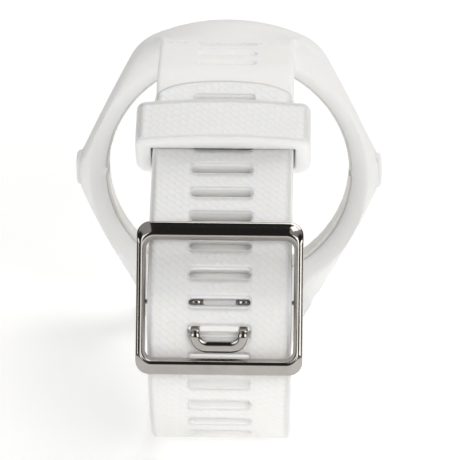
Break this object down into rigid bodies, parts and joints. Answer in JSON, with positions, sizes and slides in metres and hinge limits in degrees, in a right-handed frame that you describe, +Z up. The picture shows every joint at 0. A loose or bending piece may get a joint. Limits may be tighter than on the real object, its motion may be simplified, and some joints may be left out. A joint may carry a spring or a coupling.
{
  "type": "running watch wristband",
  "caption": "Buckled silicone wristband of a running watch: slotted strap through a frame buckle with a U tongue, keeper loop, and an open cradle ring for the watch case.",
  "frame": {"origin": "Middle of the underside of the bounding box, on the surface that the band stands on.", "axes": "+X across the strap, to the right seen from the buckle; +Y from the buckle to the cradle ring, which is the band's longest extent; +Z up. The X = 0 plane is the middle of the strap."},
  "size_m": [0.0514, 0.0664, 0.0544],
  "materials": {
    "silicone": "white moulded silicone, satin, fine scale texture on the outer faces",
    "hard_plastic": "off-white moulded plastic, satin",
    "gunmetal": "polished dark gunmetal plating",
    "steel": "drawn stainless steel"
  },
  "bodies": {
    "band": {"cradle_ring": "silicone", "retaining_insert": "hard_plastic", "hole_side_strap": "silicone", "buckle_side_strap": "silicone", "spring_bar_tube": "steel", "spring_bar_spring": "steel"},
    "frame": {"buckle_frame": "gunmetal"},
    "tongue": {"buckle_tongue": "gunmetal"},
    "keeper": {"keeper_loop": "silicone"},
    "pin_left": {"spring_bar_pin_left": "steel"},
    "pin_right": {"spring_bar_pin_right": "steel"},
    "pad_left": {"left_button_pad": "silicone"},
    "pad_right": {"right_button_pad": "silicone"}
  },
  "joints": [
    {"name": "frame_hinge", "type": "hinge", "parent": "band", "child": "frame", "pos_m": [0, -0.02477, 0.02973], "axis": [1, 0, 0], "range_deg": [-1.5, 1.5]},
    {"name": "tongue_hinge", "type": "hinge", "parent": "band", "child": "tongue", "pos_m": [0, -0.02477, 0.02973], "axis": [1, 0, 0], "range_deg": [-1.5, 1.5]},
    {"name": "keeper_slide", "type": "slide", "parent": "band", "child": "keeper", "axis": [0, 0.8788, 0.4772], "range_m": [-0.0075, 0.003]},
    {"name": "pin_left_slide", "type": "slide", "parent": "band", "child": "pin_left", "axis": [1, 0, 0], "range_m": [0, 0.0009], "stiffness_N_per_m": 600, "springref_m": -0.0005, "deforming": ["spring_bar_spring"]},
    {"name": "pin_right_slide", "type": "slide", "parent": "band", "child": "pin_right", "axis": [-1, 0, 0], "range_m": [0, 0.0009], "stiffness_N_per_m": 600, "springref_m": -0.0005, "deforming": ["spring_bar_spring"]},
    {"name": "pad_left_press", "type": "slide", "parent": "band", "child": "pad_left", "axis": [1, 0, 0], "range_m": [0, 0.0005], "stiffness_N_per_m": 1500},
    {"name": "pad_right_press", "type": "slide", "parent": "band", "child": "pad_right", "axis": [-1, 0, 0], "range_m": [0, 0.0005], "stiffness_N_per_m": 1500}
  ]
}
